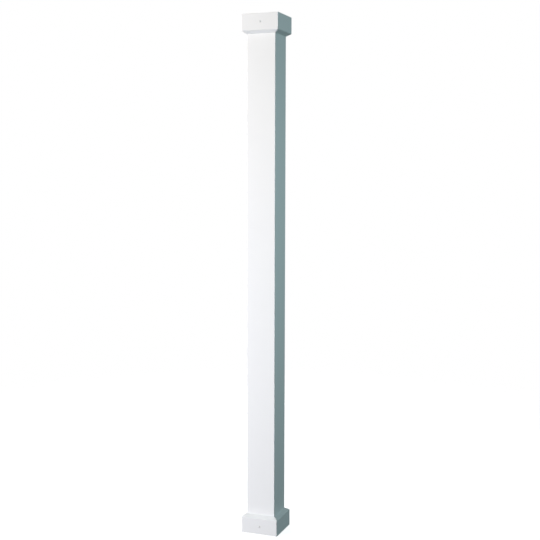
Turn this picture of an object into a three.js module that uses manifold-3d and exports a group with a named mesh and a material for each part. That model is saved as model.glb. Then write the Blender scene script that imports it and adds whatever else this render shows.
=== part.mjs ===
// A square porch column in white-painted aluminium, eight feet tall: a hollow extruded shaft that runs from floor to
// beam, a hollow bevelled collar round its foot, and the same collar, turned over, round its head.
// A pan-head screw in the middle of each collar's front, and another in its back, hold it to the shaft.
// Millimetres, +Z up, the front faces -Y, and the origin is the middle of the foot, on the floor.

import * as THREE from "three";
import { mergeVertices } from "three/addons/utils/BufferGeometryUtils.js";
import Module from "manifold-3d";

// Driving dimensions
const INCH = 25.4;
const COLUMN_HEIGHT = 96 * INCH;
const SHAFT_WIDTH = 5.5 * INCH;
const SHAFT_WALL = INCH / 8;
const SHAFT_CORNER_RADIUS = 2.5;
const BORE_CORNER_RADIUS = 0.8;
const COLLAR_WIDTH = 7.125 * INCH;
const COLLAR_HEIGHT = 3.5 * INCH;
const COLLAR_WALL = 3;
const COLLAR_CORNER_RADIUS = 3.5;
const COLLAR_HOLLOW_RADIUS = 0.8;
const SHOULDER_RISE = 0.5 * INCH;
const SHOULDER_EDGE_RADIUS = 4;
const LIP_WIDTH = 1;
const RIM_RADIUS = 1;
const NECK_DEPTH = 20;
const FITTING_GAP = 0.3;

// The screws, and the bosses that they pass through. The shank is a number 10 screw's core, without its thread.
const BOSS_RADIUS = 7;
const SCREW_LENGTH = 1.25 * INCH;
const SCREW_TIP_LENGTH = 5;
const SHANK_RADIUS = 1.65;
const HEAD_RADIUS = 4.9;
const HEAD_HEIGHT = 2.2;
const RECESS_DEPTH = 1.5;
const RECESS_REACH = 2.7;
const RECESS_WIDTH = 1.1;
const HOLE_CLEARANCE = 0.3;

// How finely the round stretches are cut into flats
const CORNER_STEPS = 6;
const SHOULDER_EDGE_STEPS = 6;
const RIM_STEPS = 2;
const DOME_STEPS = 5;
const ROUND_SIDES = 24;

// Sizes worked out from the driving ones
const shaftHalf = SHAFT_WIDTH / 2;
const collarHalf = COLLAR_WIDTH / 2;
const neckHalf = shaftHalf + FITTING_GAP;
const neckCornerRadius = SHAFT_CORNER_RADIUS + FITTING_GAP;
const skirtHeight = COLLAR_HEIGHT - SHOULDER_RISE;
const screwHeight = skirtHeight / 2;
const holeRadius = SHANK_RADIUS + HOLE_CLEARANCE;

// The sides that have screws, as a turn about Z from +X
const SCREWED_SIDES = { front: -Math.PI / 2, back: Math.PI / 2 };

const white = { color: 0xf4f5f6, metalness: 0 };
const shaftPaint = new THREE.MeshStandardMaterial({ ...white, roughness: 0.4 });
const collarPaint = new THREE.MeshStandardMaterial({ ...white, roughness: 0.45 });
const screwPaint = new THREE.MeshStandardMaterial({ ...white, roughness: 0.35 });

const wasm = await Module();
wasm.setup();

// The corners of a square with rounded corners, centred on the origin, anticlockwise.
function roundedSquare(half, radius) {
  const points = [];
  const quarter = Math.PI / 2;
  const centreReach = (half - radius) * Math.SQRT2;
  for (let corner = 0; corner < 4; corner++) {
    const diagonal = (corner + 0.5) * quarter;
    for (let step = 0; step <= CORNER_STEPS; step++) {
      const angle = (corner + step / CORNER_STEPS) * quarter;
      points.push([
        centreReach * Math.cos(diagonal) + radius * Math.cos(angle),
        centreReach * Math.sin(diagonal) + radius * Math.sin(angle),
      ]);
    }
  }
  return points;
}

// A square sleeve, skinned over rounded squares of { half, radius, z } that go up its outside and down its inside.
function squareSleeve(levels) {
  const positions = [];
  for (const { half, radius, z } of levels) {
    for (const [x, y] of roundedSquare(half, radius)) {
      positions.push(x, y, z);
    }
  }
  const perRing = positions.length / 3 / levels.length;
  const index = [];
  for (let level = 0; level < levels.length; level++) {
    const here = level * perRing;
    const above = ((level + 1) % levels.length) * perRing;
    for (let point = 0; point < perRing; point++) {
      const next = (point + 1) % perRing;
      index.push(here + point, here + next, above + next);
      index.push(here + point, above + next, above + point);
    }
  }
  const geometry = new THREE.BufferGeometry();
  geometry.setAttribute("position", new THREE.Float32BufferAttribute(positions, 3));
  geometry.setIndex(index);
  return geometry;
}

function toSolid(geometry) {
  geometry.deleteAttribute("normal");
  geometry.deleteAttribute("uv");
  const merged = mergeVertices(geometry);
  return new wasm.Manifold(
    new wasm.Mesh({
      numProp: 3,
      vertProperties: merged.attributes.position.array,
      triVerts: new Uint32Array(merged.index.array),
    }),
  );
}

function toGeometry(solid) {
  const { vertProperties, triVerts } = solid.getMesh();
  const geometry = new THREE.BufferGeometry();
  geometry.setAttribute("position", new THREE.BufferAttribute(vertProperties, 3));
  geometry.setIndex(new THREE.BufferAttribute(triVerts, 1));
  return geometry;
}

// A round bar on a screw's line: level, pointing out of one side, from one distance off the column's axis to another.
function screwLineBar(radius, from, to, z, side) {
  const bar = new THREE.CylinderGeometry(radius, radius, to - from, ROUND_SIDES);
  bar.rotateZ(-Math.PI / 2);
  bar.translate((from + to) / 2, 0, z);
  bar.rotateZ(side);
  return toSolid(bar);
}

// The shaft is one extrusion, cut square at both ends and drilled for the collars' screws.
function shaftGeometry() {
  const boreHalf = shaftHalf - SHAFT_WALL;
  let solid = toSolid(
    squareSleeve([
      { half: shaftHalf, radius: SHAFT_CORNER_RADIUS, z: 0 },
      { half: shaftHalf, radius: SHAFT_CORNER_RADIUS, z: COLUMN_HEIGHT },
      { half: boreHalf, radius: BORE_CORNER_RADIUS, z: COLUMN_HEIGHT },
      { half: boreHalf, radius: BORE_CORNER_RADIUS, z: 0 },
    ]),
  );
  for (const z of [screwHeight, COLUMN_HEIGHT - screwHeight]) {
    for (const side of Object.values(SCREWED_SIDES)) {
      const drill = screwLineBar(holeRadius, boreHalf - SHAFT_WALL, shaftHalf + SHAFT_WALL, z, side);
      solid = solid.subtract(drill);
    }
  }
  return toGeometry(solid);
}

// The collar's wall in section: up the skirt, over its rounded edge and along the sloping shoulder to the shaft, then
// down the neck that hugs the shaft, back under the shoulder, and down the inside of the skirt.
function collarSection() {
  const slope = Math.atan2(SHOULDER_RISE, collarHalf - neckHalf - LIP_WIDTH);
  const edgeTurn = Math.PI / 2 - slope;
  const edgeStart = skirtHeight - SHOULDER_EDGE_RADIUS * Math.tan(edgeTurn / 2);
  const levels = [];

  for (let step = 0; step <= RIM_STEPS; step++) {
    const angle = (step / RIM_STEPS) * (Math.PI / 2);
    const half = collarHalf - RIM_RADIUS * (1 - Math.sin(angle));
    levels.push({ half, radius: COLLAR_CORNER_RADIUS, z: RIM_RADIUS * (1 - Math.cos(angle)) });
  }
  for (let step = 0; step <= SHOULDER_EDGE_STEPS; step++) {
    const angle = (step / SHOULDER_EDGE_STEPS) * edgeTurn;
    const half = collarHalf - SHOULDER_EDGE_RADIUS * (1 - Math.cos(angle));
    levels.push({ half, radius: COLLAR_CORNER_RADIUS, z: edgeStart + SHOULDER_EDGE_RADIUS * Math.sin(angle) });
  }
  levels.push({ half: neckHalf + LIP_WIDTH, radius: neckCornerRadius + LIP_WIDTH, z: COLLAR_HEIGHT });
  levels.push({ half: neckHalf, radius: neckCornerRadius, z: COLLAR_HEIGHT });
  levels.push({ half: neckHalf, radius: neckCornerRadius, z: COLLAR_HEIGHT - NECK_DEPTH });

  const undersideAt = (half) => skirtHeight + (collarHalf - half) * Math.tan(slope) - COLLAR_WALL / Math.cos(slope);
  const neckBack = { half: neckHalf + COLLAR_WALL, radius: neckCornerRadius + COLLAR_WALL };
  const skirtInside = { half: collarHalf - COLLAR_WALL, radius: COLLAR_HOLLOW_RADIUS };
  levels.push({ ...neckBack, z: COLLAR_HEIGHT - NECK_DEPTH });
  levels.push({ ...neckBack, z: undersideAt(neckBack.half) });
  levels.push({ ...skirtInside, z: undersideAt(skirtInside.half) });
  levels.push({ ...skirtInside, z: 0 });
  return levels;
}

// The collar has a round boss behind each screw, from the skirt in to the shaft, with the screw's hole through it.
function collarGeometry() {
  let solid = toSolid(squareSleeve(collarSection()));
  for (const side of Object.values(SCREWED_SIDES)) {
    const boss = screwLineBar(BOSS_RADIUS, neckHalf, collarHalf - COLLAR_WALL / 2, screwHeight, side);
    const hole = screwLineBar(holeRadius, neckHalf - COLLAR_WALL, collarHalf + COLLAR_WALL, screwHeight, side);
    solid = solid.add(boss).subtract(hole);
  }
  return toGeometry(solid);
}

// One blade of the cross recess, tapering to its floor, along X and in the XZ plane.
function recessBlade() {
  const above = HEAD_HEIGHT + RECESS_DEPTH / 4;
  const floor = HEAD_HEIGHT - RECESS_DEPTH;
  const outline = new THREE.Shape();
  outline.moveTo(-RECESS_REACH, above);
  outline.lineTo(-RECESS_REACH / 3, floor);
  outline.lineTo(RECESS_REACH / 3, floor);
  outline.lineTo(RECESS_REACH, above);
  outline.closePath();
  const blade = new THREE.ExtrudeGeometry(outline, { depth: RECESS_WIDTH, bevelEnabled: false });
  blade.translate(0, 0, -RECESS_WIDTH / 2);
  blade.rotateX(Math.PI / 2);
  return blade;
}

// A pointed screw with a domed pan head, standing along +Z with the underside of its head at z = 0.
function screwGeometry() {
  const rimHeight = HEAD_HEIGHT / 3;
  const profile = [
    new THREE.Vector2(0, -SCREW_LENGTH),
    new THREE.Vector2(SHANK_RADIUS, SCREW_TIP_LENGTH - SCREW_LENGTH),
    new THREE.Vector2(SHANK_RADIUS, 0),
    new THREE.Vector2(HEAD_RADIUS, 0),
  ];
  for (let step = 0; step < DOME_STEPS; step++) {
    const angle = (step / DOME_STEPS) * (Math.PI / 2);
    const out = HEAD_RADIUS * Math.cos(angle);
    profile.push(new THREE.Vector2(out, rimHeight + (HEAD_HEIGHT - rimHeight) * Math.sin(angle)));
  }
  profile.push(new THREE.Vector2(0, HEAD_HEIGHT));
  const turned = new THREE.LatheGeometry(profile, ROUND_SIDES);
  turned.rotateX(Math.PI / 2);
  const blade = recessBlade();
  const crossBlade = blade.clone().rotateZ(Math.PI / 2);
  return toGeometry(toSolid(turned).subtract(toSolid(blade)).subtract(toSolid(crossBlade)));
}

const column = new THREE.Group();

const shaft = new THREE.Mesh(shaftGeometry(), shaftPaint);
shaft.name = "shaft";
column.add(shaft);

const collarShape = collarGeometry();
const screwShape = screwGeometry();

// A collar and its screws, in a group that stands on the floor or is turned over to hang from the head.
function addCollar(name, z, tilt) {
  const group = new THREE.Group();
  group.position.z = z;
  group.rotation.y = tilt;

  const collar = new THREE.Mesh(collarShape, collarPaint);
  collar.name = name;
  group.add(collar);

  for (const [sideName, side] of Object.entries(SCREWED_SIDES)) {
    const screw = new THREE.Mesh(screwShape, screwPaint);
    const out = collarHalf + FITTING_GAP;
    screw.name = `${name}_screw_${sideName}`;
    screw.position.set(out * Math.cos(side), out * Math.sin(side), screwHeight);
    screw.rotation.set(0, Math.PI / 2, side, "ZYX");
    group.add(screw);
  }
  column.add(group);
}

addCollar("base", 0, 0);
addCollar("cap", COLUMN_HEIGHT, Math.PI);

export default column;
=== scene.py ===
# A square porch column in white powder-coated aluminium: a hollow shaft with a bevelled collar at each end.
# Metres, +Z up. The front faces -Y, and the origin is the middle of the foot, on the floor.

import math
import bpy
from mathutils import Matrix, Vector


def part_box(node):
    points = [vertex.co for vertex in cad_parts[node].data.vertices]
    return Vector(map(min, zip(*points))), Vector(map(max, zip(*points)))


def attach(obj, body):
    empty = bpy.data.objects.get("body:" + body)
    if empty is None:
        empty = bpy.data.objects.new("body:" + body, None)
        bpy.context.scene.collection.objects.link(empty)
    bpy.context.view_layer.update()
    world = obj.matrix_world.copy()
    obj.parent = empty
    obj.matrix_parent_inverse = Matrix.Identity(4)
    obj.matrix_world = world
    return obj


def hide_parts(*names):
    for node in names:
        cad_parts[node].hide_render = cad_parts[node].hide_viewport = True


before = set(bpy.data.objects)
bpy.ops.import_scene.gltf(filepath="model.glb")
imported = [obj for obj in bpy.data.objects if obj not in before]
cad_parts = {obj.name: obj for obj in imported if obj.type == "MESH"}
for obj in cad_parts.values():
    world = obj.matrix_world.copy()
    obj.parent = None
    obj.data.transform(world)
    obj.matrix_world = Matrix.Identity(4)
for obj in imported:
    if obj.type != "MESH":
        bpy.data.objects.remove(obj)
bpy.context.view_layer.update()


# Camera
# It stands at a person's eye height, to the right of the front, and looks slightly down.
CAMERA_PLACE = (1.662, -4.308, 1.694)
CAMERA_TURN = math.radians(20.88)
CAMERA_TILT = math.radians(-5.39)
CAMERA_ROLL = math.radians(-0.12)
CAMERA_LENS = 65.3
SENSOR_WIDTH = 36

camera_data = bpy.data.cameras.new("camera")
camera_data.sensor_width = SENSOR_WIDTH
camera_data.lens = CAMERA_LENS
camera = bpy.data.objects.new("camera", camera_data)
camera.location = CAMERA_PLACE
aim = Matrix.Rotation(CAMERA_TURN, 3, "Z") @ Matrix.Rotation(math.pi / 2 + CAMERA_TILT, 3, "X")
camera.rotation_euler = (aim @ Matrix.Rotation(-CAMERA_ROLL, 3, "Z")).to_euler()
bpy.context.scene.collection.objects.link(camera)
bpy.context.scene.camera = camera


# Shaft
# One square aluminium extrusion with a plain bore, which carries the load. It was powder-coated in a long
# length and then sawn to size, so its ends and bore are bare metal, with some paint blown in at each end.
MM = 0.001
shaft_low, shaft_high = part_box("shaft")
shaft_half = shaft_high[0]
shaft_top = shaft_high[2]
SHAFT_WALL = 3.175 * MM
SHAFT_CORNER_RADIUS = 2.5 * MM
BORE_CORNER_RADIUS = 0.8 * MM
SAWN_EDGE_RADIUS = 0.25 * MM
LONGEST_RUN = 200 * MM
ARC_STEPS = 6
CORNER_STEPS = 8
CORNER_SUPPORT = 0.6 * MM
SMOOTH_LIMIT = math.radians(34)
WELD_DISTANCE = 0.001 * MM
SAWN_FACE_LEAN = 0.7

NOISE_RANGE = (0.3, 0.7)
COAT_WHITE = (0.88, 0.884, 0.888)
SHAFT_GLOSS_ROUGHNESS = 0.44
PATCHES_A_METRE = 9
PATCH_SHADE = 0.985
PATCH_ROUGHENING = 0.03
PEEL_WIDTH = 2.2 * MM
PEEL_DEPTH = 0.004 * MM
PEEL_CRISPNESS = 0.4
DIE_LINE_SPACING = 3 * MM
DIE_LINE_LENGTH = 2.5
DIE_LINE_DEPTH = 0.006 * MM

MILL_METAL = (0.66, 0.665, 0.67)
MILL_ROUGHNESS = 0.42
MILL_ROUGHNESS_SPREAD = 0.15
MILL_LINE_DEPTH = 0.03 * MM
TARNISH_A_METRE = 25
TARNISH_SHADE = 0.82
SAW_MARKS_A_METRE = 260
SAW_MARK_WANDER = 3
SAW_MARK_BREAKS = 0.3
SAW_MARK_DEPTH = 0.02 * MM
OVERSPRAY_REACH = 70 * MM
OVERSPRAY_FADE = (0.45, 1.25)
SPECKS_A_METRE = 160

SLEEVE_INPUTS = {
    "Section": "NodeSocketGeometry",
    "Corner Steps": "NodeSocketInt",
    "Support": "NodeSocketFloat",
}


def plug(tree, value, socket):
    """Links another node's output to a socket, or sets the socket to a plain value."""
    if isinstance(value, bpy.types.NodeSocket):
        tree.links.new(value, socket)
    else:
        socket.default_value = value


def add_node(tree, kind, inputs=None, **settings):
    """Adds a node with its settings, and plugs values into its inputs, by name or by number."""
    node = tree.nodes.new(kind)
    for name, value in settings.items():
        setattr(node, name, value)
    for key, value in (inputs or {}).items():
        plug(tree, value, node.inputs[key])
    return node


def maths(tree, operation, *values):
    """The output of a Math node that works on the values in order."""
    return add_node(tree, "ShaderNodeMath", dict(enumerate(values)), operation=operation).outputs[0]


def split(tree, vector):
    """The x, y and z of a vector."""
    return add_node(tree, "ShaderNodeSeparateXYZ", {"Vector": vector}).outputs


def combine(tree, x=0, y=0, z=0):
    """A vector from its x, y and z."""
    return add_node(tree, "ShaderNodeCombineXYZ", {"X": x, "Y": y, "Z": z}).outputs["Vector"]


def new_tree(kind, name, inputs, outputs):
    """A node group with named input and output sockets, and the nodes that stand for them inside it."""
    tree = bpy.data.node_groups.new(name, kind)
    for socket_name, socket_kind in inputs.items():
        tree.interface.new_socket(socket_name, in_out="INPUT", socket_type=socket_kind)
    for socket_name, socket_kind in outputs.items():
        tree.interface.new_socket(socket_name, in_out="OUTPUT", socket_type=socket_kind)
    return tree, tree.nodes.new("NodeGroupInput").outputs, tree.nodes.new("NodeGroupOutput").inputs


def is_inner(tree):
    """The mark on the inside of a piece."""
    mark = add_node(tree, "GeometryNodeInputNamedAttribute", {"Name": "inner"}, data_type="BOOLEAN")
    return mark.outputs[0]


def mark_inner(tree, mesh, value, domain):
    """Marks the faces or the points of a mesh as the inside of a piece, or as its outside."""
    return add_node(
        tree, "GeometryNodeStoreNamedAttribute", {"Geometry": mesh, "Name": "inner", "Value": value},
        data_type="BOOLEAN", domain=domain,
    ).outputs[0]


def square_sleeve_group():
    """Skins a closed section round a square with rounded corners. The section's points hold half width, plan
    radius and height as x, y and z. An extra row of points at each end of an arc keeps the flats flat."""
    tree, given, result = new_tree(
        "GeometryNodeTree", "Square sleeve", SLEEVE_INPUTS, {"Sleeve": "NodeSocketGeometry"},
    )
    steps = given["Corner Steps"]
    levels = add_node(
        tree, "GeometryNodeAttributeDomainSize", {"Geometry": given["Section"]}, component="MESH",
    ).outputs["Point Count"]
    arc_points = maths(tree, "ADD", steps, 1)
    points_a_corner = maths(tree, "ADD", arc_points, 2)
    ring = maths(tree, "MULTIPLY", points_a_corner, 4)
    column = maths(tree, "ADD", levels, 1)
    grid = add_node(
        tree, "GeometryNodeMeshGrid", {"Vertices X": maths(tree, "ADD", ring, 1), "Vertices Y": column},
    ).outputs["Mesh"]

    index = tree.nodes.new("GeometryNodeInputIndex").outputs["Index"]
    place = maths(tree, "FLOORED_MODULO", maths(tree, "FLOOR", maths(tree, "DIVIDE", index, column)), ring)
    level = maths(tree, "FLOORED_MODULO", maths(tree, "FLOORED_MODULO", index, column), levels)
    corner = maths(tree, "FLOOR", maths(tree, "DIVIDE", place, points_a_corner))
    step = maths(tree, "SUBTRACT", maths(tree, "FLOORED_MODULO", place, points_a_corner), 1)
    step_on_arc = maths(tree, "MINIMUM", maths(tree, "MAXIMUM", step, 0), steps)
    past_arc = maths(tree, "MULTIPLY", maths(tree, "SUBTRACT", step, step_on_arc), given["Support"])

    def sampled(kind, value):
        return add_node(
            tree, "GeometryNodeSampleIndex", {"Geometry": given["Section"], "Value": value, "Index": level},
            data_type=kind, domain="POINT",
        ).outputs["Value"]

    position = tree.nodes.new("GeometryNodeInputPosition").outputs["Position"]
    section_point = split(tree, sampled("FLOAT_VECTOR", position))
    half, radius, height = section_point[0], section_point[1], section_point[2]
    quarter = math.pi / 2
    turns = maths(tree, "ADD", corner, maths(tree, "DIVIDE", step_on_arc, steps))
    angle = maths(tree, "MULTIPLY", turns, quarter)
    cosine, sine = maths(tree, "COSINE", angle), maths(tree, "SINE", angle)
    diagonal = maths(tree, "MULTIPLY", maths(tree, "ADD", corner, 0.5), quarter)
    reach = maths(tree, "MULTIPLY", maths(tree, "SUBTRACT", half, radius), math.sqrt(2))
    centre_x = maths(tree, "MULTIPLY", reach, maths(tree, "COSINE", diagonal))
    centre_y = maths(tree, "MULTIPLY", reach, maths(tree, "SINE", diagonal))
    arc_x = maths(tree, "MULTIPLY_ADD", radius, cosine, centre_x)
    arc_y = maths(tree, "MULTIPLY_ADD", radius, sine, centre_y)
    x = maths(tree, "SUBTRACT", arc_x, maths(tree, "MULTIPLY", past_arc, sine))
    y = maths(tree, "MULTIPLY_ADD", past_arc, cosine, arc_y)
    skinned = add_node(
        tree, "GeometryNodeSetPosition", {"Geometry": grid, "Position": combine(tree, x, y, height)},
    ).outputs["Geometry"]

    points_marked = mark_inner(tree, skinned, sampled("BOOLEAN", is_inner(tree)), "POINT")
    faces_marked = mark_inner(tree, points_marked, is_inner(tree), "FACE")
    closed = add_node(
        tree, "GeometryNodeMergeByDistance", {"Geometry": faces_marked, "Distance": WELD_DISTANCE},
    ).outputs["Geometry"]
    plug(tree, closed, result["Sleeve"])
    return tree


def use_sleeve(tree, given):
    """Places the sleeve in a piece's tree, with the piece's own inputs of the same names."""
    sleeve = add_node(tree, "GeometryNodeGroup", node_tree=square_sleeve)
    for socket in sleeve.inputs:
        plug(tree, given[socket.name], socket)
    return sleeve.outputs["Sleeve"]


def finish_tree(tree, mesh, result, paint, inside_finish=None, inside=None):
    """Ends a piece's tree: smooth faces with sharp corners, and one finish all over, or another inside."""
    smooth = add_node(
        tree, "GeometryNodeSetShadeSmooth", {0: mesh, "Shade Smooth": True}, domain="FACE",
    ).outputs[0]
    bend = tree.nodes.new("GeometryNodeInputMeshEdgeAngle").outputs["Unsigned Angle"]
    is_sharp = add_node(
        tree, "FunctionNodeCompare", {0: bend, 1: SMOOTH_LIMIT},
        data_type="FLOAT", operation="GREATER_THAN",
    ).outputs[0]
    edged = add_node(
        tree, "GeometryNodeSetShadeSmooth", {0: smooth, "Selection": is_sharp, "Shade Smooth": False},
        domain="EDGE",
    ).outputs[0]
    real = add_node(tree, "GeometryNodeRealizeInstances", {0: edged}).outputs[0]
    finished = add_node(tree, "GeometryNodeSetMaterial", {"Geometry": real, "Material": paint}).outputs[0]
    if inside_finish:
        lined = add_node(
            tree, "GeometryNodeSetMaterial",
            {"Geometry": finished, "Selection": inside, "Material": inside_finish},
        ).outputs[0]
        finished = add_node(
            tree, "GeometryNodeRemoveAttribute", {"Geometry": lined, "Name": "inner"},
        ).outputs[0]
    plug(tree, finished, result)


def section_line(name, corners):
    """A closed line of points for a sleeve, up its outside and down its inside. Each corner is (half width,
    height, rounding, plan radius, inner)."""
    points = []
    for number, (half, height, rounding, plan_radius, inner) in enumerate(corners):
        here = Vector((half, height))
        back = (Vector(corners[number - 1][:2]) - here).normalized()
        onward = (Vector(corners[(number + 1) % len(corners)][:2]) - here).normalized()
        turn = math.pi - back.angle(onward)
        reach = rounding * math.tan(turn / 2)
        support = min(rounding / 2, CORNER_SUPPORT)
        centre = here + (back + onward).normalized() * (rounding / math.cos(turn / 2))
        first_spoke, last_spoke = here + back * reach - centre, here + onward * reach - centre
        points.append((here + back * (reach + support), plan_radius, inner))
        for step in range(ARC_STEPS + 1):
            turned = turn * step / ARC_STEPS
            spoke = (first_spoke * math.sin(turn - turned) + last_spoke * math.sin(turned)) / math.sin(turn)
            points.append((centre + spoke, plan_radius, inner))
        points.append((here + onward * (reach + support), plan_radius, inner))

    vertices, inner_marks = [], []
    for number, (here, radius, inner) in enumerate(points):
        beyond, next_radius, next_inner = points[(number + 1) % len(points)]
        parts = max(1, math.ceil((beyond - here).length / LONGEST_RUN))
        for part in range(parts):
            at = here.lerp(beyond, part / parts)
            vertices.append((at[0], radius + (next_radius - radius) * part / parts, at[1]))
            inner_marks.append(inner and (part == 0 or next_inner))
    mesh = bpy.data.meshes.new(name)
    mesh.from_pydata(vertices, [], [])
    mesh.attributes.new("inner", "BOOLEAN", "POINT").data.foreach_set("value", inner_marks)
    return mesh


def grow(name, mesh, tree, **values):
    """Runs a Geometry Nodes tree on a mesh, with inputs set by name, and makes the result a plain object."""
    source = bpy.data.objects.new(f"{name}_source", mesh)
    bpy.context.scene.collection.objects.link(source)
    modifier = source.modifiers.new("grow", "NODES")
    modifier.node_group = tree
    for item in tree.interface.items_tree:
        key = item.name.lower().replace(" ", "_")
        if item.in_out == "INPUT" and key in values:
            modifier[item.identifier] = values[key]
    depsgraph = bpy.context.evaluated_depsgraph_get()
    grown = bpy.data.meshes.new_from_object(source.evaluated_get(depsgraph), depsgraph=depsgraph)
    source.modifiers.remove(modifier)
    bpy.data.objects.remove(source)
    while None in grown.materials[:]:
        grown.materials.pop(index=grown.materials[:].index(None))
    grown.name = name
    piece = bpy.data.objects.new(name, grown)
    bpy.context.scene.collection.objects.link(piece)
    return piece


def noise(tree, place, features, detail, **inputs):
    """Noise with so many features a metre. Nearly all its values lie within NOISE_RANGE."""
    inputs.update(Vector=place, Scale=features, Detail=detail)
    return add_node(tree, "ShaderNodeTexNoise", inputs).outputs["Fac"]


def remap(tree, value, old, new, **settings):
    """Carries a value from one range to another."""
    inputs = {"Value": value, "From Min": old[0], "From Max": old[1], "To Min": new[0], "To Max": new[1]}
    return add_node(tree, "ShaderNodeMapRange", inputs, **settings).outputs["Result"]


def deepened(tree, colour, shade):
    """A colour times a shade from 0 to 1."""
    return add_node(
        tree, "ShaderNodeMix", {0: 1.0, 6: colour, 7: shade}, data_type="RGBA", blend_type="MULTIPLY",
    ).outputs[2]


def powder_coat_group():
    """Baked powder paint: tone and gloss a little uneven over a hand's width, and a finely rippled skin."""
    tree, given, result = new_tree(
        "ShaderNodeTree", "Powder coat",
        {"Place": "NodeSocketVector", "Colour": "NodeSocketColor", "Roughness": "NodeSocketFloat",
         "Peel Width": "NodeSocketFloat", "Peel Depth": "NodeSocketFloat"},
        {"Colour": "NodeSocketColor", "Roughness": "NodeSocketFloat", "Height": "NodeSocketFloat"},
    )
    patches = noise(tree, given["Place"], PATCHES_A_METRE, detail=3)
    tone = remap(tree, patches, NOISE_RANGE, (PATCH_SHADE, 1))
    roughening = remap(tree, patches, NOISE_RANGE, (PATCH_ROUGHENING, -PATCH_ROUGHENING))
    ripples = maths(tree, "DIVIDE", 1, given["Peel Width"])
    peel = noise(tree, given["Place"], ripples, detail=1, Roughness=PEEL_CRISPNESS)
    plug(tree, deepened(tree, given["Colour"], tone), result["Colour"])
    plug(tree, maths(tree, "ADD", given["Roughness"], roughening), result["Roughness"])
    plug(tree, maths(tree, "MULTIPLY", peel, given["Peel Depth"]), result["Height"])
    return tree


def die_lines_group():
    """The fine straight lines that the die leaves along an extrusion."""
    tree, given, result = new_tree(
        "ShaderNodeTree", "Die lines",
        {"Place": "NodeSocketVector", "Spacing": "NodeSocketFloat", "Depth": "NodeSocketFloat"},
        {"Height": "NodeSocketFloat"},
    )
    across = maths(tree, "DIVIDE", 1, given["Spacing"])
    stretch = combine(tree, across, across, 1 / DIE_LINE_LENGTH)
    place = add_node(
        tree, "ShaderNodeVectorMath", {0: given["Place"], 1: stretch}, operation="MULTIPLY",
    ).outputs[0]
    lines = noise(tree, place, features=1, detail=2)
    plug(tree, maths(tree, "MULTIPLY", lines, given["Depth"]), result["Height"])
    return tree


def new_material(name):
    """An empty material: its tree, its Principled shader and the Object coordinates."""
    material = bpy.data.materials.new(name)
    material.use_nodes = True
    tree = material.node_tree
    place = tree.nodes.new("ShaderNodeTexCoord").outputs["Object"]
    return material, tree, tree.nodes["Principled BSDF"], place


def use_group(tree, group, **values):
    """Places a shader group in a material with its own values."""
    node = add_node(tree, "ShaderNodeGroup", node_tree=group)
    for name, value in values.items():
        plug(tree, value, node.inputs[name.replace("_", " ")])
    return node.outputs


def ripple(tree, height, shader):
    """Feeds a height in metres to a shader's normal."""
    bump = add_node(tree, "ShaderNodeBump", {"Height": height, "Distance": 1, "Strength": 1})
    plug(tree, bump.outputs["Normal"], shader.inputs["Normal"])


def coated_material(name, white, roughness, relief=None):
    """Powder coat with its own white and gloss, over a relief in the metal where one shows through."""
    material, tree, shader, place = new_material(name)
    coat = use_group(
        tree, powder_coat, Place=place, Colour=(*white, 1), Roughness=roughness,
        Peel_Width=PEEL_WIDTH, Peel_Depth=PEEL_DEPTH,
    )
    plug(tree, coat["Colour"], shader.inputs["Base Color"])
    plug(tree, coat["Roughness"], shader.inputs["Roughness"])
    height = coat["Height"]
    if relief:
        height = maths(tree, "ADD", height, relief(tree, place))
    ripple(tree, height, shader)
    return material


def coated_die_lines(tree, place):
    """The die lines, as they just show through the paint."""
    lines = use_group(tree, die_lines, Place=place, Spacing=DIE_LINE_SPACING, Depth=DIE_LINE_DEPTH)
    return lines["Height"]


def bare_metal_material():
    """Mill-finish aluminium in the bore, sawn aluminium at the ends, and the paint that blew in there."""
    material, tree, shader, place = new_material("bare_aluminium")
    height = split(tree, place)[2]
    to_end = maths(tree, "MINIMUM", height, maths(tree, "SUBTRACT", shaft_top, height))
    in_bore = maths(tree, "GREATER_THAN", to_end, 2 * SAWN_EDGE_RADIUS)
    specks = noise(tree, place, SPECKS_A_METRE, detail=4)
    distance = maths(tree, "ADD", maths(tree, "DIVIDE", to_end, OVERSPRAY_REACH), specks)
    paint = maths(tree, "MULTIPLY", remap(tree, distance, OVERSPRAY_FADE, (1, 0)), in_bore)

    tarnish = noise(tree, place, TARNISH_A_METRE, detail=5)
    metal = deepened(tree, (*MILL_METAL, 1), remap(tree, tarnish, NOISE_RANGE, (TARNISH_SHADE, 1)))
    colour = add_node(
        tree, "ShaderNodeMix", {0: paint, 6: metal, 7: (*COAT_WHITE, 1)}, data_type="RGBA",
    ).outputs[2]
    smoothest = MILL_ROUGHNESS - MILL_ROUGHNESS_SPREAD / 2
    roughness = maths(tree, "MULTIPLY_ADD", tarnish, MILL_ROUGHNESS_SPREAD, smoothest)
    plug(tree, colour, shader.inputs["Base Color"])
    plug(tree, maths(tree, "SUBTRACT", 1, paint), shader.inputs["Metallic"])
    plug(tree, roughness, shader.inputs["Roughness"])

    lines = use_group(tree, die_lines, Place=place, Spacing=DIE_LINE_SPACING, Depth=MILL_LINE_DEPTH)
    saw = add_node(
        tree, "ShaderNodeTexWave",
        {"Vector": place, "Scale": SAW_MARKS_A_METRE, "Distortion": SAW_MARK_WANDER, "Detail": 2,
         "Detail Scale": SAW_MARK_BREAKS},
        wave_type="BANDS", bands_direction="DIAGONAL",
    ).outputs["Fac"]
    on_end = maths(tree, "SUBTRACT", 1, in_bore)
    saw_marks = maths(tree, "MULTIPLY", on_end, maths(tree, "MULTIPLY", saw, SAW_MARK_DEPTH))
    ripple(tree, maths(tree, "MULTIPLY_ADD", lines["Height"], in_bore, saw_marks), shader)
    return material


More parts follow.
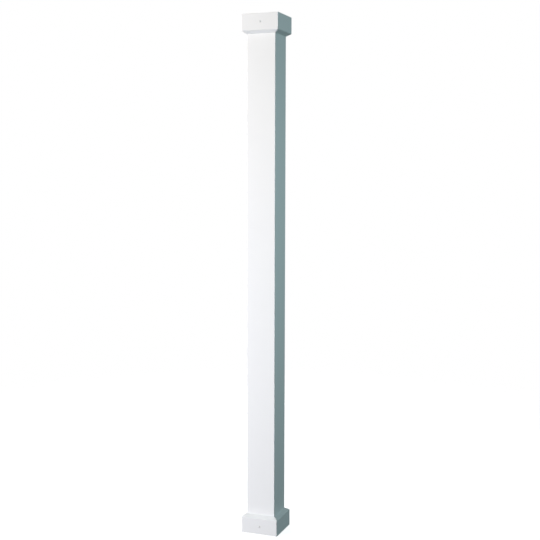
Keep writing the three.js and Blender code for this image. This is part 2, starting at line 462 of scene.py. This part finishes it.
square_sleeve = square_sleeve_group()
powder_coat = powder_coat_group()
die_lines = die_lines_group()
shaft_coat = coated_material("shaft_coat", COAT_WHITE, SHAFT_GLOSS_ROUGHNESS, relief=coated_die_lines)
bare_metal = bare_metal_material()


def shaft_tree():
    """The extrusion from its section, bare in its bore and on its ends, whose faces look up or down."""
    tree, given, result = new_tree(
        "GeometryNodeTree", "Extruded shaft", SLEEVE_INPUTS, {"Shaft": "NodeSocketGeometry"},
    )
    sleeve = use_sleeve(tree, given)
    upward = split(tree, tree.nodes.new("GeometryNodeInputNormal").outputs[0])[2]
    on_end = maths(tree, "GREATER_THAN", maths(tree, "ABSOLUTE", upward), SAWN_FACE_LEAN)
    bare = add_node(
        tree, "FunctionNodeBooleanMath", {0: is_inner(tree), 1: on_end}, operation="OR",
    ).outputs[0]
    finish_tree(tree, sleeve, result["Shaft"], shaft_coat, bare_metal, bare)
    return tree


bore_half = shaft_half - SHAFT_WALL
shaft_section = section_line("shaft_section", [
    (shaft_half, shaft_low[2], SAWN_EDGE_RADIUS, SHAFT_CORNER_RADIUS, False),
    (shaft_half, shaft_top, SAWN_EDGE_RADIUS, SHAFT_CORNER_RADIUS, False),
    (bore_half, shaft_top, SAWN_EDGE_RADIUS, BORE_CORNER_RADIUS, True),
    (bore_half, shaft_low[2], SAWN_EDGE_RADIUS, BORE_CORNER_RADIUS, True),
])
shaft = grow("column_shaft", shaft_section, shaft_tree(), corner_steps=CORNER_STEPS, support=CORNER_SUPPORT)
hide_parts("shaft")
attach(shaft, "root")


# Collars
# Two like collars of cast aluminium, powder-coated all over but thinly inside: one round the foot, the other
# turned over round the head. A bevelled shoulder rises to a neck that slides over the shaft. Bosses behind
# the middle of the front and of the back take the screws.
collar_low, collar_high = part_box("base")
collar_half = collar_high[0]
collar_height = collar_high[2]
COLLAR_WALL = 3 * MM
COLLAR_CORNER_RADIUS = 3.5 * MM
COLLAR_HOLLOW_RADIUS = 0.8 * MM
SHOULDER_RISE = 12.7 * MM
SHOULDER_EDGE_RADIUS = 4 * MM
LIP_WIDTH = 1 * MM
NECK_GAP = 0.3 * MM
NECK_DEPTH = 20 * MM
RIM_RADIUS = 1 * MM
CAST_EDGE_RADIUS = 0.3 * MM
CAST_HOLLOW_RADIUS = 2 * MM
BOSS_RADIUS = 7 * MM
HOLE_RADIUS = 1.95 * MM
ROUND_SIDES = 48
COLLAR_WHITE = (0.865, 0.868, 0.874)
COLLAR_GLOSS_ROUGHNESS = 0.48
THIN_COAT = (0.74, 0.745, 0.75)
THIN_COAT_ROUGHNESS = 0.6
CAST_GRAINS_A_METRE = 420
CAST_GRAIN_DEPTH = 0.08 * MM

neck_half = shaft_half + NECK_GAP
neck_corner_radius = SHAFT_CORNER_RADIUS + NECK_GAP
skirt_height = collar_height - SHOULDER_RISE
screw_height = skirt_height / 2


def collar_section():
    """Up the skirt and over the shoulder to the lip, then down the neck and back down the inside."""
    lip_half = neck_half + LIP_WIDTH
    slope = math.atan2(SHOULDER_RISE, collar_half - lip_half)
    back_half = neck_half + COLLAR_WALL
    inside_half = collar_half - COLLAR_WALL
    under_shoulder = skirt_height - COLLAR_WALL / math.cos(slope)
    back_top = under_shoulder + (collar_half - back_half) * math.tan(slope)
    inside_top = under_shoulder + COLLAR_WALL * math.tan(slope)
    back_radius = neck_corner_radius + COLLAR_WALL
    return section_line("collar_section", [
        (collar_half, collar_low[2], RIM_RADIUS, COLLAR_CORNER_RADIUS, False),
        (collar_half, skirt_height, SHOULDER_EDGE_RADIUS, COLLAR_CORNER_RADIUS, False),
        (lip_half, collar_height, CAST_EDGE_RADIUS, neck_corner_radius + LIP_WIDTH, False),
        (neck_half, collar_height, CAST_EDGE_RADIUS, neck_corner_radius, False),
        (neck_half, collar_height - NECK_DEPTH, CAST_EDGE_RADIUS, neck_corner_radius, True),
        (back_half, collar_height - NECK_DEPTH, CAST_EDGE_RADIUS, back_radius, True),
        (back_half, back_top, CAST_HOLLOW_RADIUS, back_radius, True),
        (inside_half, inside_top, CAST_HOLLOW_RADIUS, COLLAR_HOLLOW_RADIUS, True),
        (inside_half, collar_low[2], CAST_EDGE_RADIUS, COLLAR_HOLLOW_RADIUS, True),
    ])


def level_bar(tree, radius, start, end, height):
    """A round bar along Y, between two distances from the column's axis."""
    length = maths(tree, "SUBTRACT", end, start)
    middle = maths(tree, "DIVIDE", maths(tree, "ADD", start, end), 2)
    bar = add_node(
        tree, "GeometryNodeMeshCylinder", {"Vertices": ROUND_SIDES, "Radius": radius, "Depth": length},
        fill_type="NGON",
    ).outputs["Mesh"]
    return add_node(
        tree, "GeometryNodeTransform",
        {"Geometry": bar, "Translation": combine(tree, y=middle, z=height), "Rotation": (math.pi / 2, 0, 0)},
    ).outputs[0]


def collar_tree():
    """The cast collar: its sleeve with a drilled boss front and back, stood on the floor or turned over and
    lifted."""
    sizes = (
        "Boss Radius", "Hole Radius", "Screw Height", "Boss Start", "Boss End", "Hole End", "Tilt", "Lift",
    )
    tree, given, result = new_tree(
        "GeometryNodeTree", "Bevelled collar", {**SLEEVE_INPUTS, **dict.fromkeys(sizes, "NodeSocketFloat")},
        {"Collar": "NodeSocketGeometry"},
    )
    height = given["Screw Height"]
    start, end, reach = given["Boss Start"], given["Boss End"], given["Hole End"]
    minus_start, minus_end, minus_reach = (maths(tree, "MULTIPLY", at, -1) for at in (start, end, reach))
    back_boss = level_bar(tree, given["Boss Radius"], start, end, height)
    front_boss = level_bar(tree, given["Boss Radius"], minus_end, minus_start, height)
    joined = add_node(tree, "GeometryNodeMeshBoolean", operation="UNION")
    tree.links.new(use_sleeve(tree, given), joined.inputs["Mesh 2"])
    for boss in (back_boss, front_boss):
        tree.links.new(mark_inner(tree, boss, True, "FACE"), joined.inputs["Mesh 2"])
    drill = level_bar(tree, given["Hole Radius"], minus_reach, reach, height)
    drilled = add_node(
        tree, "GeometryNodeMeshBoolean", {"Mesh 1": joined.outputs["Mesh"], "Mesh 2": drill},
        operation="DIFFERENCE",
    ).outputs["Mesh"]
    stood = add_node(
        tree, "GeometryNodeTransform",
        {"Geometry": drilled, "Rotation": combine(tree, y=given["Tilt"]),
         "Translation": combine(tree, z=given["Lift"])},
    ).outputs[0]
    finish_tree(tree, stood, result["Collar"], collar_coat, collar_inside, is_inner(tree))
    return tree


def cast_grain(tree, place):
    """The grain of the casting's unworked inside."""
    return maths(tree, "MULTIPLY", noise(tree, place, CAST_GRAINS_A_METRE, detail=4), CAST_GRAIN_DEPTH)


collar_coat = coated_material("collar_coat", COLLAR_WHITE, COLLAR_GLOSS_ROUGHNESS)
collar_inside = coated_material("collar_thin_coat", THIN_COAT, THIN_COAT_ROUGHNESS, relief=cast_grain)
bevelled_collar = collar_tree()
for name, tilt, lift in (("base", 0, 0), ("cap", math.pi, shaft_top)):
    collar = grow(
        f"{name}_collar", collar_section(), bevelled_collar, corner_steps=CORNER_STEPS,
        support=CORNER_SUPPORT, boss_radius=BOSS_RADIUS, hole_radius=HOLE_RADIUS, screw_height=screw_height,
        boss_start=neck_half, boss_end=collar_half - COLLAR_WALL / 2, hole_end=collar_half + COLLAR_WALL,
        tilt=tilt, lift=lift,
    )
    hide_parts(name)
    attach(collar, "root")


# Screws
# Four number 10 steel screws with pan heads and cross recesses, painted white all over. They are driven
# through the collars' bosses into the shaft's wall: one in the middle of each collar's front, and one in its
# back.
SCREW_LENGTH = 31.75 * MM
SCREW_TIP_LENGTH = 5 * MM
CORE_RADIUS = 1.65 * MM
THREAD_RADIUS = 2.4 * MM
THREAD_PITCH = 1.6 * MM
THREAD_SHARE = 0.5
PLAIN_SHANK = 3 * MM
HEAD_RADIUS = 4.9 * MM
HEAD_HEIGHT = 2.2 * MM
HEAD_EDGE_HEIGHT = 0.8 * MM
RECESS_DEPTH = 1.5 * MM
RECESS_REACH = 2.7 * MM
RECESS_WIDTH = 1.1 * MM
RINGS_PER_TURN = 8
DOME_STEPS = 8
SCREW_SIDES = 32
SCREW_COUNT = 4
SCREW_SEED = 4
SCREW_WHITE = (0.84, 0.845, 0.85)
SCREW_GLOSS_ROUGHNESS = 0.35


def screw_rings():
    """From the tip up, each ring of a screw: its height, its radius and how far its thread stands out. The
    head has a low edge, drawn in a little below, and a dome."""
    rings = []
    count = math.ceil(SCREW_LENGTH / THREAD_PITCH * RINGS_PER_TURN)
    for number in range(1, count + 1):
        height = -SCREW_LENGTH + SCREW_LENGTH * number / count
        taper = min(1, (height + SCREW_LENGTH) / SCREW_TIP_LENGTH)
        ending = min(1, max(0, (-height - PLAIN_SHANK) / THREAD_PITCH))
        rings.append((height, CORE_RADIUS * taper, (THREAD_RADIUS - CORE_RADIUS) * taper * ending))
    rings.append((0, HEAD_RADIUS - HEAD_EDGE_HEIGHT / 4, 0))
    dome_start = HEAD_EDGE_HEIGHT / 2
    for step in range(DOME_STEPS):
        angle = step / DOME_STEPS * math.pi / 2
        height = dome_start + (HEAD_HEIGHT - dome_start) * math.sin(angle)
        rings.append((height, HEAD_RADIUS * math.cos(angle), 0))
    return rings


def screw_blank():
    """A threaded screw without its recess, standing along +Z with the underside of its head at z = 0."""
    vertices, faces = [(0, 0, -SCREW_LENGTH)], []
    rings = screw_rings()
    for height, radius, crest in rings:
        for side in range(SCREW_SIDES):
            phase = (height / THREAD_PITCH - side / SCREW_SIDES) % 1
            reach = radius + crest * max(0, 1 - abs(phase - 0.5) * 2 / THREAD_SHARE)
            angle = 2 * math.pi * side / SCREW_SIDES
            vertices.append((reach * math.cos(angle), reach * math.sin(angle), height))
    vertices.append((0, 0, HEAD_HEIGHT))
    for side in range(SCREW_SIDES):
        beside = (side + 1) % SCREW_SIDES
        faces.append((0, 1 + beside, 1 + side))
        for ring in range(len(rings) - 1):
            here = 1 + ring * SCREW_SIDES
            above = here + SCREW_SIDES
            faces.append((here + side, here + beside, above + beside, above + side))
        last = 1 + (len(rings) - 1) * SCREW_SIDES
        faces.append((last + side, last + beside, len(vertices) - 1))
    mesh = bpy.data.meshes.new("screw_blank")
    mesh.from_pydata(vertices, [], faces)
    return mesh


def recess_blade(turn):
    """One blade of the cross recess, tapering to its floor, turned about the screw's axis."""
    bottom, above = HEAD_HEIGHT - RECESS_DEPTH, HEAD_HEIGHT + RECESS_DEPTH / 4
    bottom_reach = RECESS_REACH / 3
    outline = (
        (-RECESS_REACH, above), (-bottom_reach, bottom), (bottom_reach, bottom), (RECESS_REACH, above),
    )
    vertices = [(x, side * RECESS_WIDTH / 2, z) for side in (-1, 1) for x, z in outline]
    corners = len(outline)
    walls = [(n + corners, (n + 1) % corners + corners, (n + 1) % corners, n) for n in range(corners)]
    ends = [tuple(range(corners)), tuple(reversed(range(corners, 2 * corners)))]
    mesh = bpy.data.meshes.new("recess_blade")
    mesh.from_pydata(vertices, [], walls + ends)
    mesh.transform(Matrix.Rotation(turn, 4, "Z"))
    return mesh


def screws_tree():
    """Copies of one screw, front and back at the foot and then at the head, each turned at random. Facing
    is -1 at the front and 1 at the back."""
    tree, given, result = new_tree(
        "GeometryNodeTree", "Collar screws",
        {"Screw": "NodeSocketGeometry", "Reach": "NodeSocketFloat", "Foot Height": "NodeSocketFloat",
         "Head Height": "NodeSocketFloat", "Seed": "NodeSocketInt"},
        {"Screws": "NodeSocketGeometry"},
    )
    index = tree.nodes.new("GeometryNodeInputIndex").outputs["Index"]
    at_head = maths(tree, "FLOOR", maths(tree, "DIVIDE", index, 2))
    facing = maths(tree, "MULTIPLY_ADD", maths(tree, "FLOORED_MODULO", index, 2), 2, -1)
    height = add_node(
        tree, "ShaderNodeMix", {0: at_head, 2: given["Foot Height"], 3: given["Head Height"]},
        data_type="FLOAT",
    ).outputs[0]
    place = combine(tree, y=maths(tree, "MULTIPLY", facing, given["Reach"]), z=height)
    points = add_node(tree, "GeometryNodePoints", {"Count": SCREW_COUNT, "Position": place}).outputs[0]
    outward = add_node(
        tree, "FunctionNodeAlignRotationToVector", {"Vector": combine(tree, y=facing)}, axis="Z",
    ).outputs[0]
    spin = add_node(
        tree, "FunctionNodeRandomValue", {2: 0.0, 3: math.pi / 2, "Seed": given["Seed"]}, data_type="FLOAT",
    ).outputs[1]
    own_turn = add_node(
        tree, "FunctionNodeAxisAngleToRotation", {"Axis": (0, 0, 1), "Angle": spin},
    ).outputs[0]
    turned = add_node(
        tree, "FunctionNodeRotateRotation", {"Rotation": outward, "Rotate By": own_turn},
        rotation_space="LOCAL",
    ).outputs[0]
    copies = add_node(
        tree, "GeometryNodeInstanceOnPoints",
        {"Points": points, "Instance": given["Screw"], "Rotation": turned},
    ).outputs[0]
    finish_tree(tree, copies, result["Screws"], screw_coat)
    return tree


def carve(mesh, cutters):
    """Cuts closed meshes out of a mesh, one after another."""
    carved = bpy.data.objects.new("carved", mesh)
    bpy.context.scene.collection.objects.link(carved)
    tools = []
    for cutter in cutters:
        tool = bpy.data.objects.new("cutter", cutter)
        bpy.context.scene.collection.objects.link(tool)
        tools.append(tool)
        cut = carved.modifiers.new("cut", "BOOLEAN")
        cut.operation = "DIFFERENCE"
        cut.solver = "EXACT"
        cut.object = tool
    depsgraph = bpy.context.evaluated_depsgraph_get()
    result = bpy.data.meshes.new_from_object(carved.evaluated_get(depsgraph), depsgraph=depsgraph)
    for spent in [carved, *tools]:
        bpy.data.objects.remove(spent)
    return result


screw_coat = coated_material("screw_coat", SCREW_WHITE, SCREW_GLOSS_ROUGHNESS)
screws = grow(
    "collar_screws", carve(screw_blank(), [recess_blade(0), recess_blade(math.pi / 2)]), screws_tree(),
    reach=collar_half, foot_height=screw_height, head_height=shaft_top - screw_height, seed=SCREW_SEED,
)
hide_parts("base_screw_front", "base_screw_back", "cap_screw_front", "cap_screw_back")
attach(screws, "root")


# Floor
# A plain white studio floor with a faint glow of its own, so that only a soft shadow shows, fading into the
# white round it. It neither lights the column nor shades it from the lamps.
WHITE = (1.0, 1.0, 1.0)
FLOOR_RADIUS = 4
FLOOR_FADE_START = 1.6
FLOOR_SIDES = 96
FLOOR_DROP = 0.2 * MM
FLOOR_PAINT = (0.5, 0.5, 0.5)
FLOOR_GLOW = 0.86
FLOOR_ROUGHNESS = 0.8

floor_mesh = bpy.data.meshes.new("floor")
floor_rim = []
for side in range(FLOOR_SIDES):
    angle = 2 * math.pi * side / FLOOR_SIDES
    floor_rim.append((FLOOR_RADIUS * math.cos(angle), FLOOR_RADIUS * math.sin(angle), -FLOOR_DROP))
floor_mesh.from_pydata(floor_rim, [], [range(FLOOR_SIDES)])
floor_paint, floor_tree, floor_shader, floor_place = new_material("floor")
from_middle = add_node(
    floor_tree, "ShaderNodeVectorMath", {0: floor_place}, operation="LENGTH",
).outputs["Value"]
fade = remap(
    floor_tree, from_middle, (FLOOR_FADE_START, FLOOR_RADIUS), (1, 0), interpolation_type="SMOOTHSTEP",
)
floor_shader.inputs["Base Color"].default_value = (*FLOOR_PAINT, 1)
floor_shader.inputs["Roughness"].default_value = FLOOR_ROUGHNESS
floor_shader.inputs["Emission Color"].default_value = (*WHITE, 1)
floor_shader.inputs["Emission Strength"].default_value = FLOOR_GLOW
plug(floor_tree, fade, floor_shader.inputs["Alpha"])
floor_mesh.materials.append(floor_paint)
floor = bpy.data.objects.new("floor", floor_mesh)
bpy.context.scene.collection.objects.link(floor)
floor.visible_diffuse = False
floor.visible_glossy = False
floor.visible_shadow = False


# Lights
# A tall soft panel on the front left with a low bluish one before it, a weak cool one close on the right,
# and a cool glow from the upper right. One behind and one overhead light the sides that the photograph
# doesn't show. The camera sees plain white all round.
KEY_COLOUR = (1.0, 0.946, 0.866)
LOW_COLOUR = (0.354, 0.539, 1.0)
FILL_COLOUR = (0.673, 0.981, 1.0)
GLOW_COLOUR = (0.722, 0.963, 1.0)
GLOW_STRENGTH = 0.755
GLOW_FROM = (0.9, 0.0, 0.44)
GLOW_FOCUS = 4


def soft_panel(name, degrees, distance, height, width, tall, power, colour, lean=90):
    """A rectangular lamp at an azimuth counted from the front towards +X. It faces the column, or the floor
    where its lean is 0."""
    azimuth = math.radians(degrees)
    lamp = bpy.data.lights.new(name, "AREA")
    lamp.shape = "RECTANGLE"
    lamp.size = width
    lamp.size_y = tall
    lamp.energy = power
    lamp.color = colour
    panel = bpy.data.objects.new(name, lamp)
    panel.location = (distance * math.sin(azimuth), -distance * math.cos(azimuth), height)
    panel.rotation_euler = (math.radians(lean), 0, azimuth)
    panel.visible_camera = False
    bpy.context.scene.collection.objects.link(panel)


soft_panel(
    "key_panel", degrees=-45, distance=5, height=1.6, width=2, tall=4.5, power=355, colour=KEY_COLOUR,
)
soft_panel(
    "low_panel", degrees=-45, distance=4, height=0.5, width=1.6, tall=1.6, power=46, colour=LOW_COLOUR,
)
soft_panel(
    "fill_panel", degrees=80, distance=1.6, height=1.65, width=0.7, tall=1.4, power=5.2, colour=FILL_COLOUR,
)
soft_panel(
    "back_panel", degrees=-155, distance=4.5, height=1.4, width=2, tall=3.5, power=80, colour=WHITE,
)
soft_panel(
    "top_panel", degrees=0, distance=0, height=3.3, width=0.4, tall=0.4, power=4, colour=WHITE, lean=0,
)

world = bpy.data.worlds.new("studio")
world.use_nodes = True
air = world.node_tree
towards = add_node(air, "ShaderNodeTexCoord").outputs["Generated"]
facing_glow = add_node(
    air, "ShaderNodeVectorMath", {0: towards, 1: GLOW_FROM}, operation="DOT_PRODUCT",
).outputs["Value"]
focused = maths(air, "POWER", maths(air, "MAXIMUM", facing_glow, 0), GLOW_FOCUS)
glow = air.nodes["Background"]
plug(air, (*GLOW_COLOUR, 1), glow.inputs["Color"])
plug(air, maths(air, "MULTIPLY", focused, GLOW_STRENGTH), glow.inputs["Strength"])
backdrop = add_node(air, "ShaderNodeBackground", {"Color": (*WHITE, 1), "Strength": 1.0})
seen = add_node(air, "ShaderNodeLightPath").outputs["Is Camera Ray"]
walls = add_node(
    air, "ShaderNodeMixShader", {0: seen, 1: glow.outputs["Background"], 2: backdrop.outputs["Background"]},
)
plug(air, walls.outputs["Shader"], air.nodes["World Output"].inputs["Surface"])
bpy.context.scene.world = world
bpy.context.scene.view_settings.view_transform = "Standard"
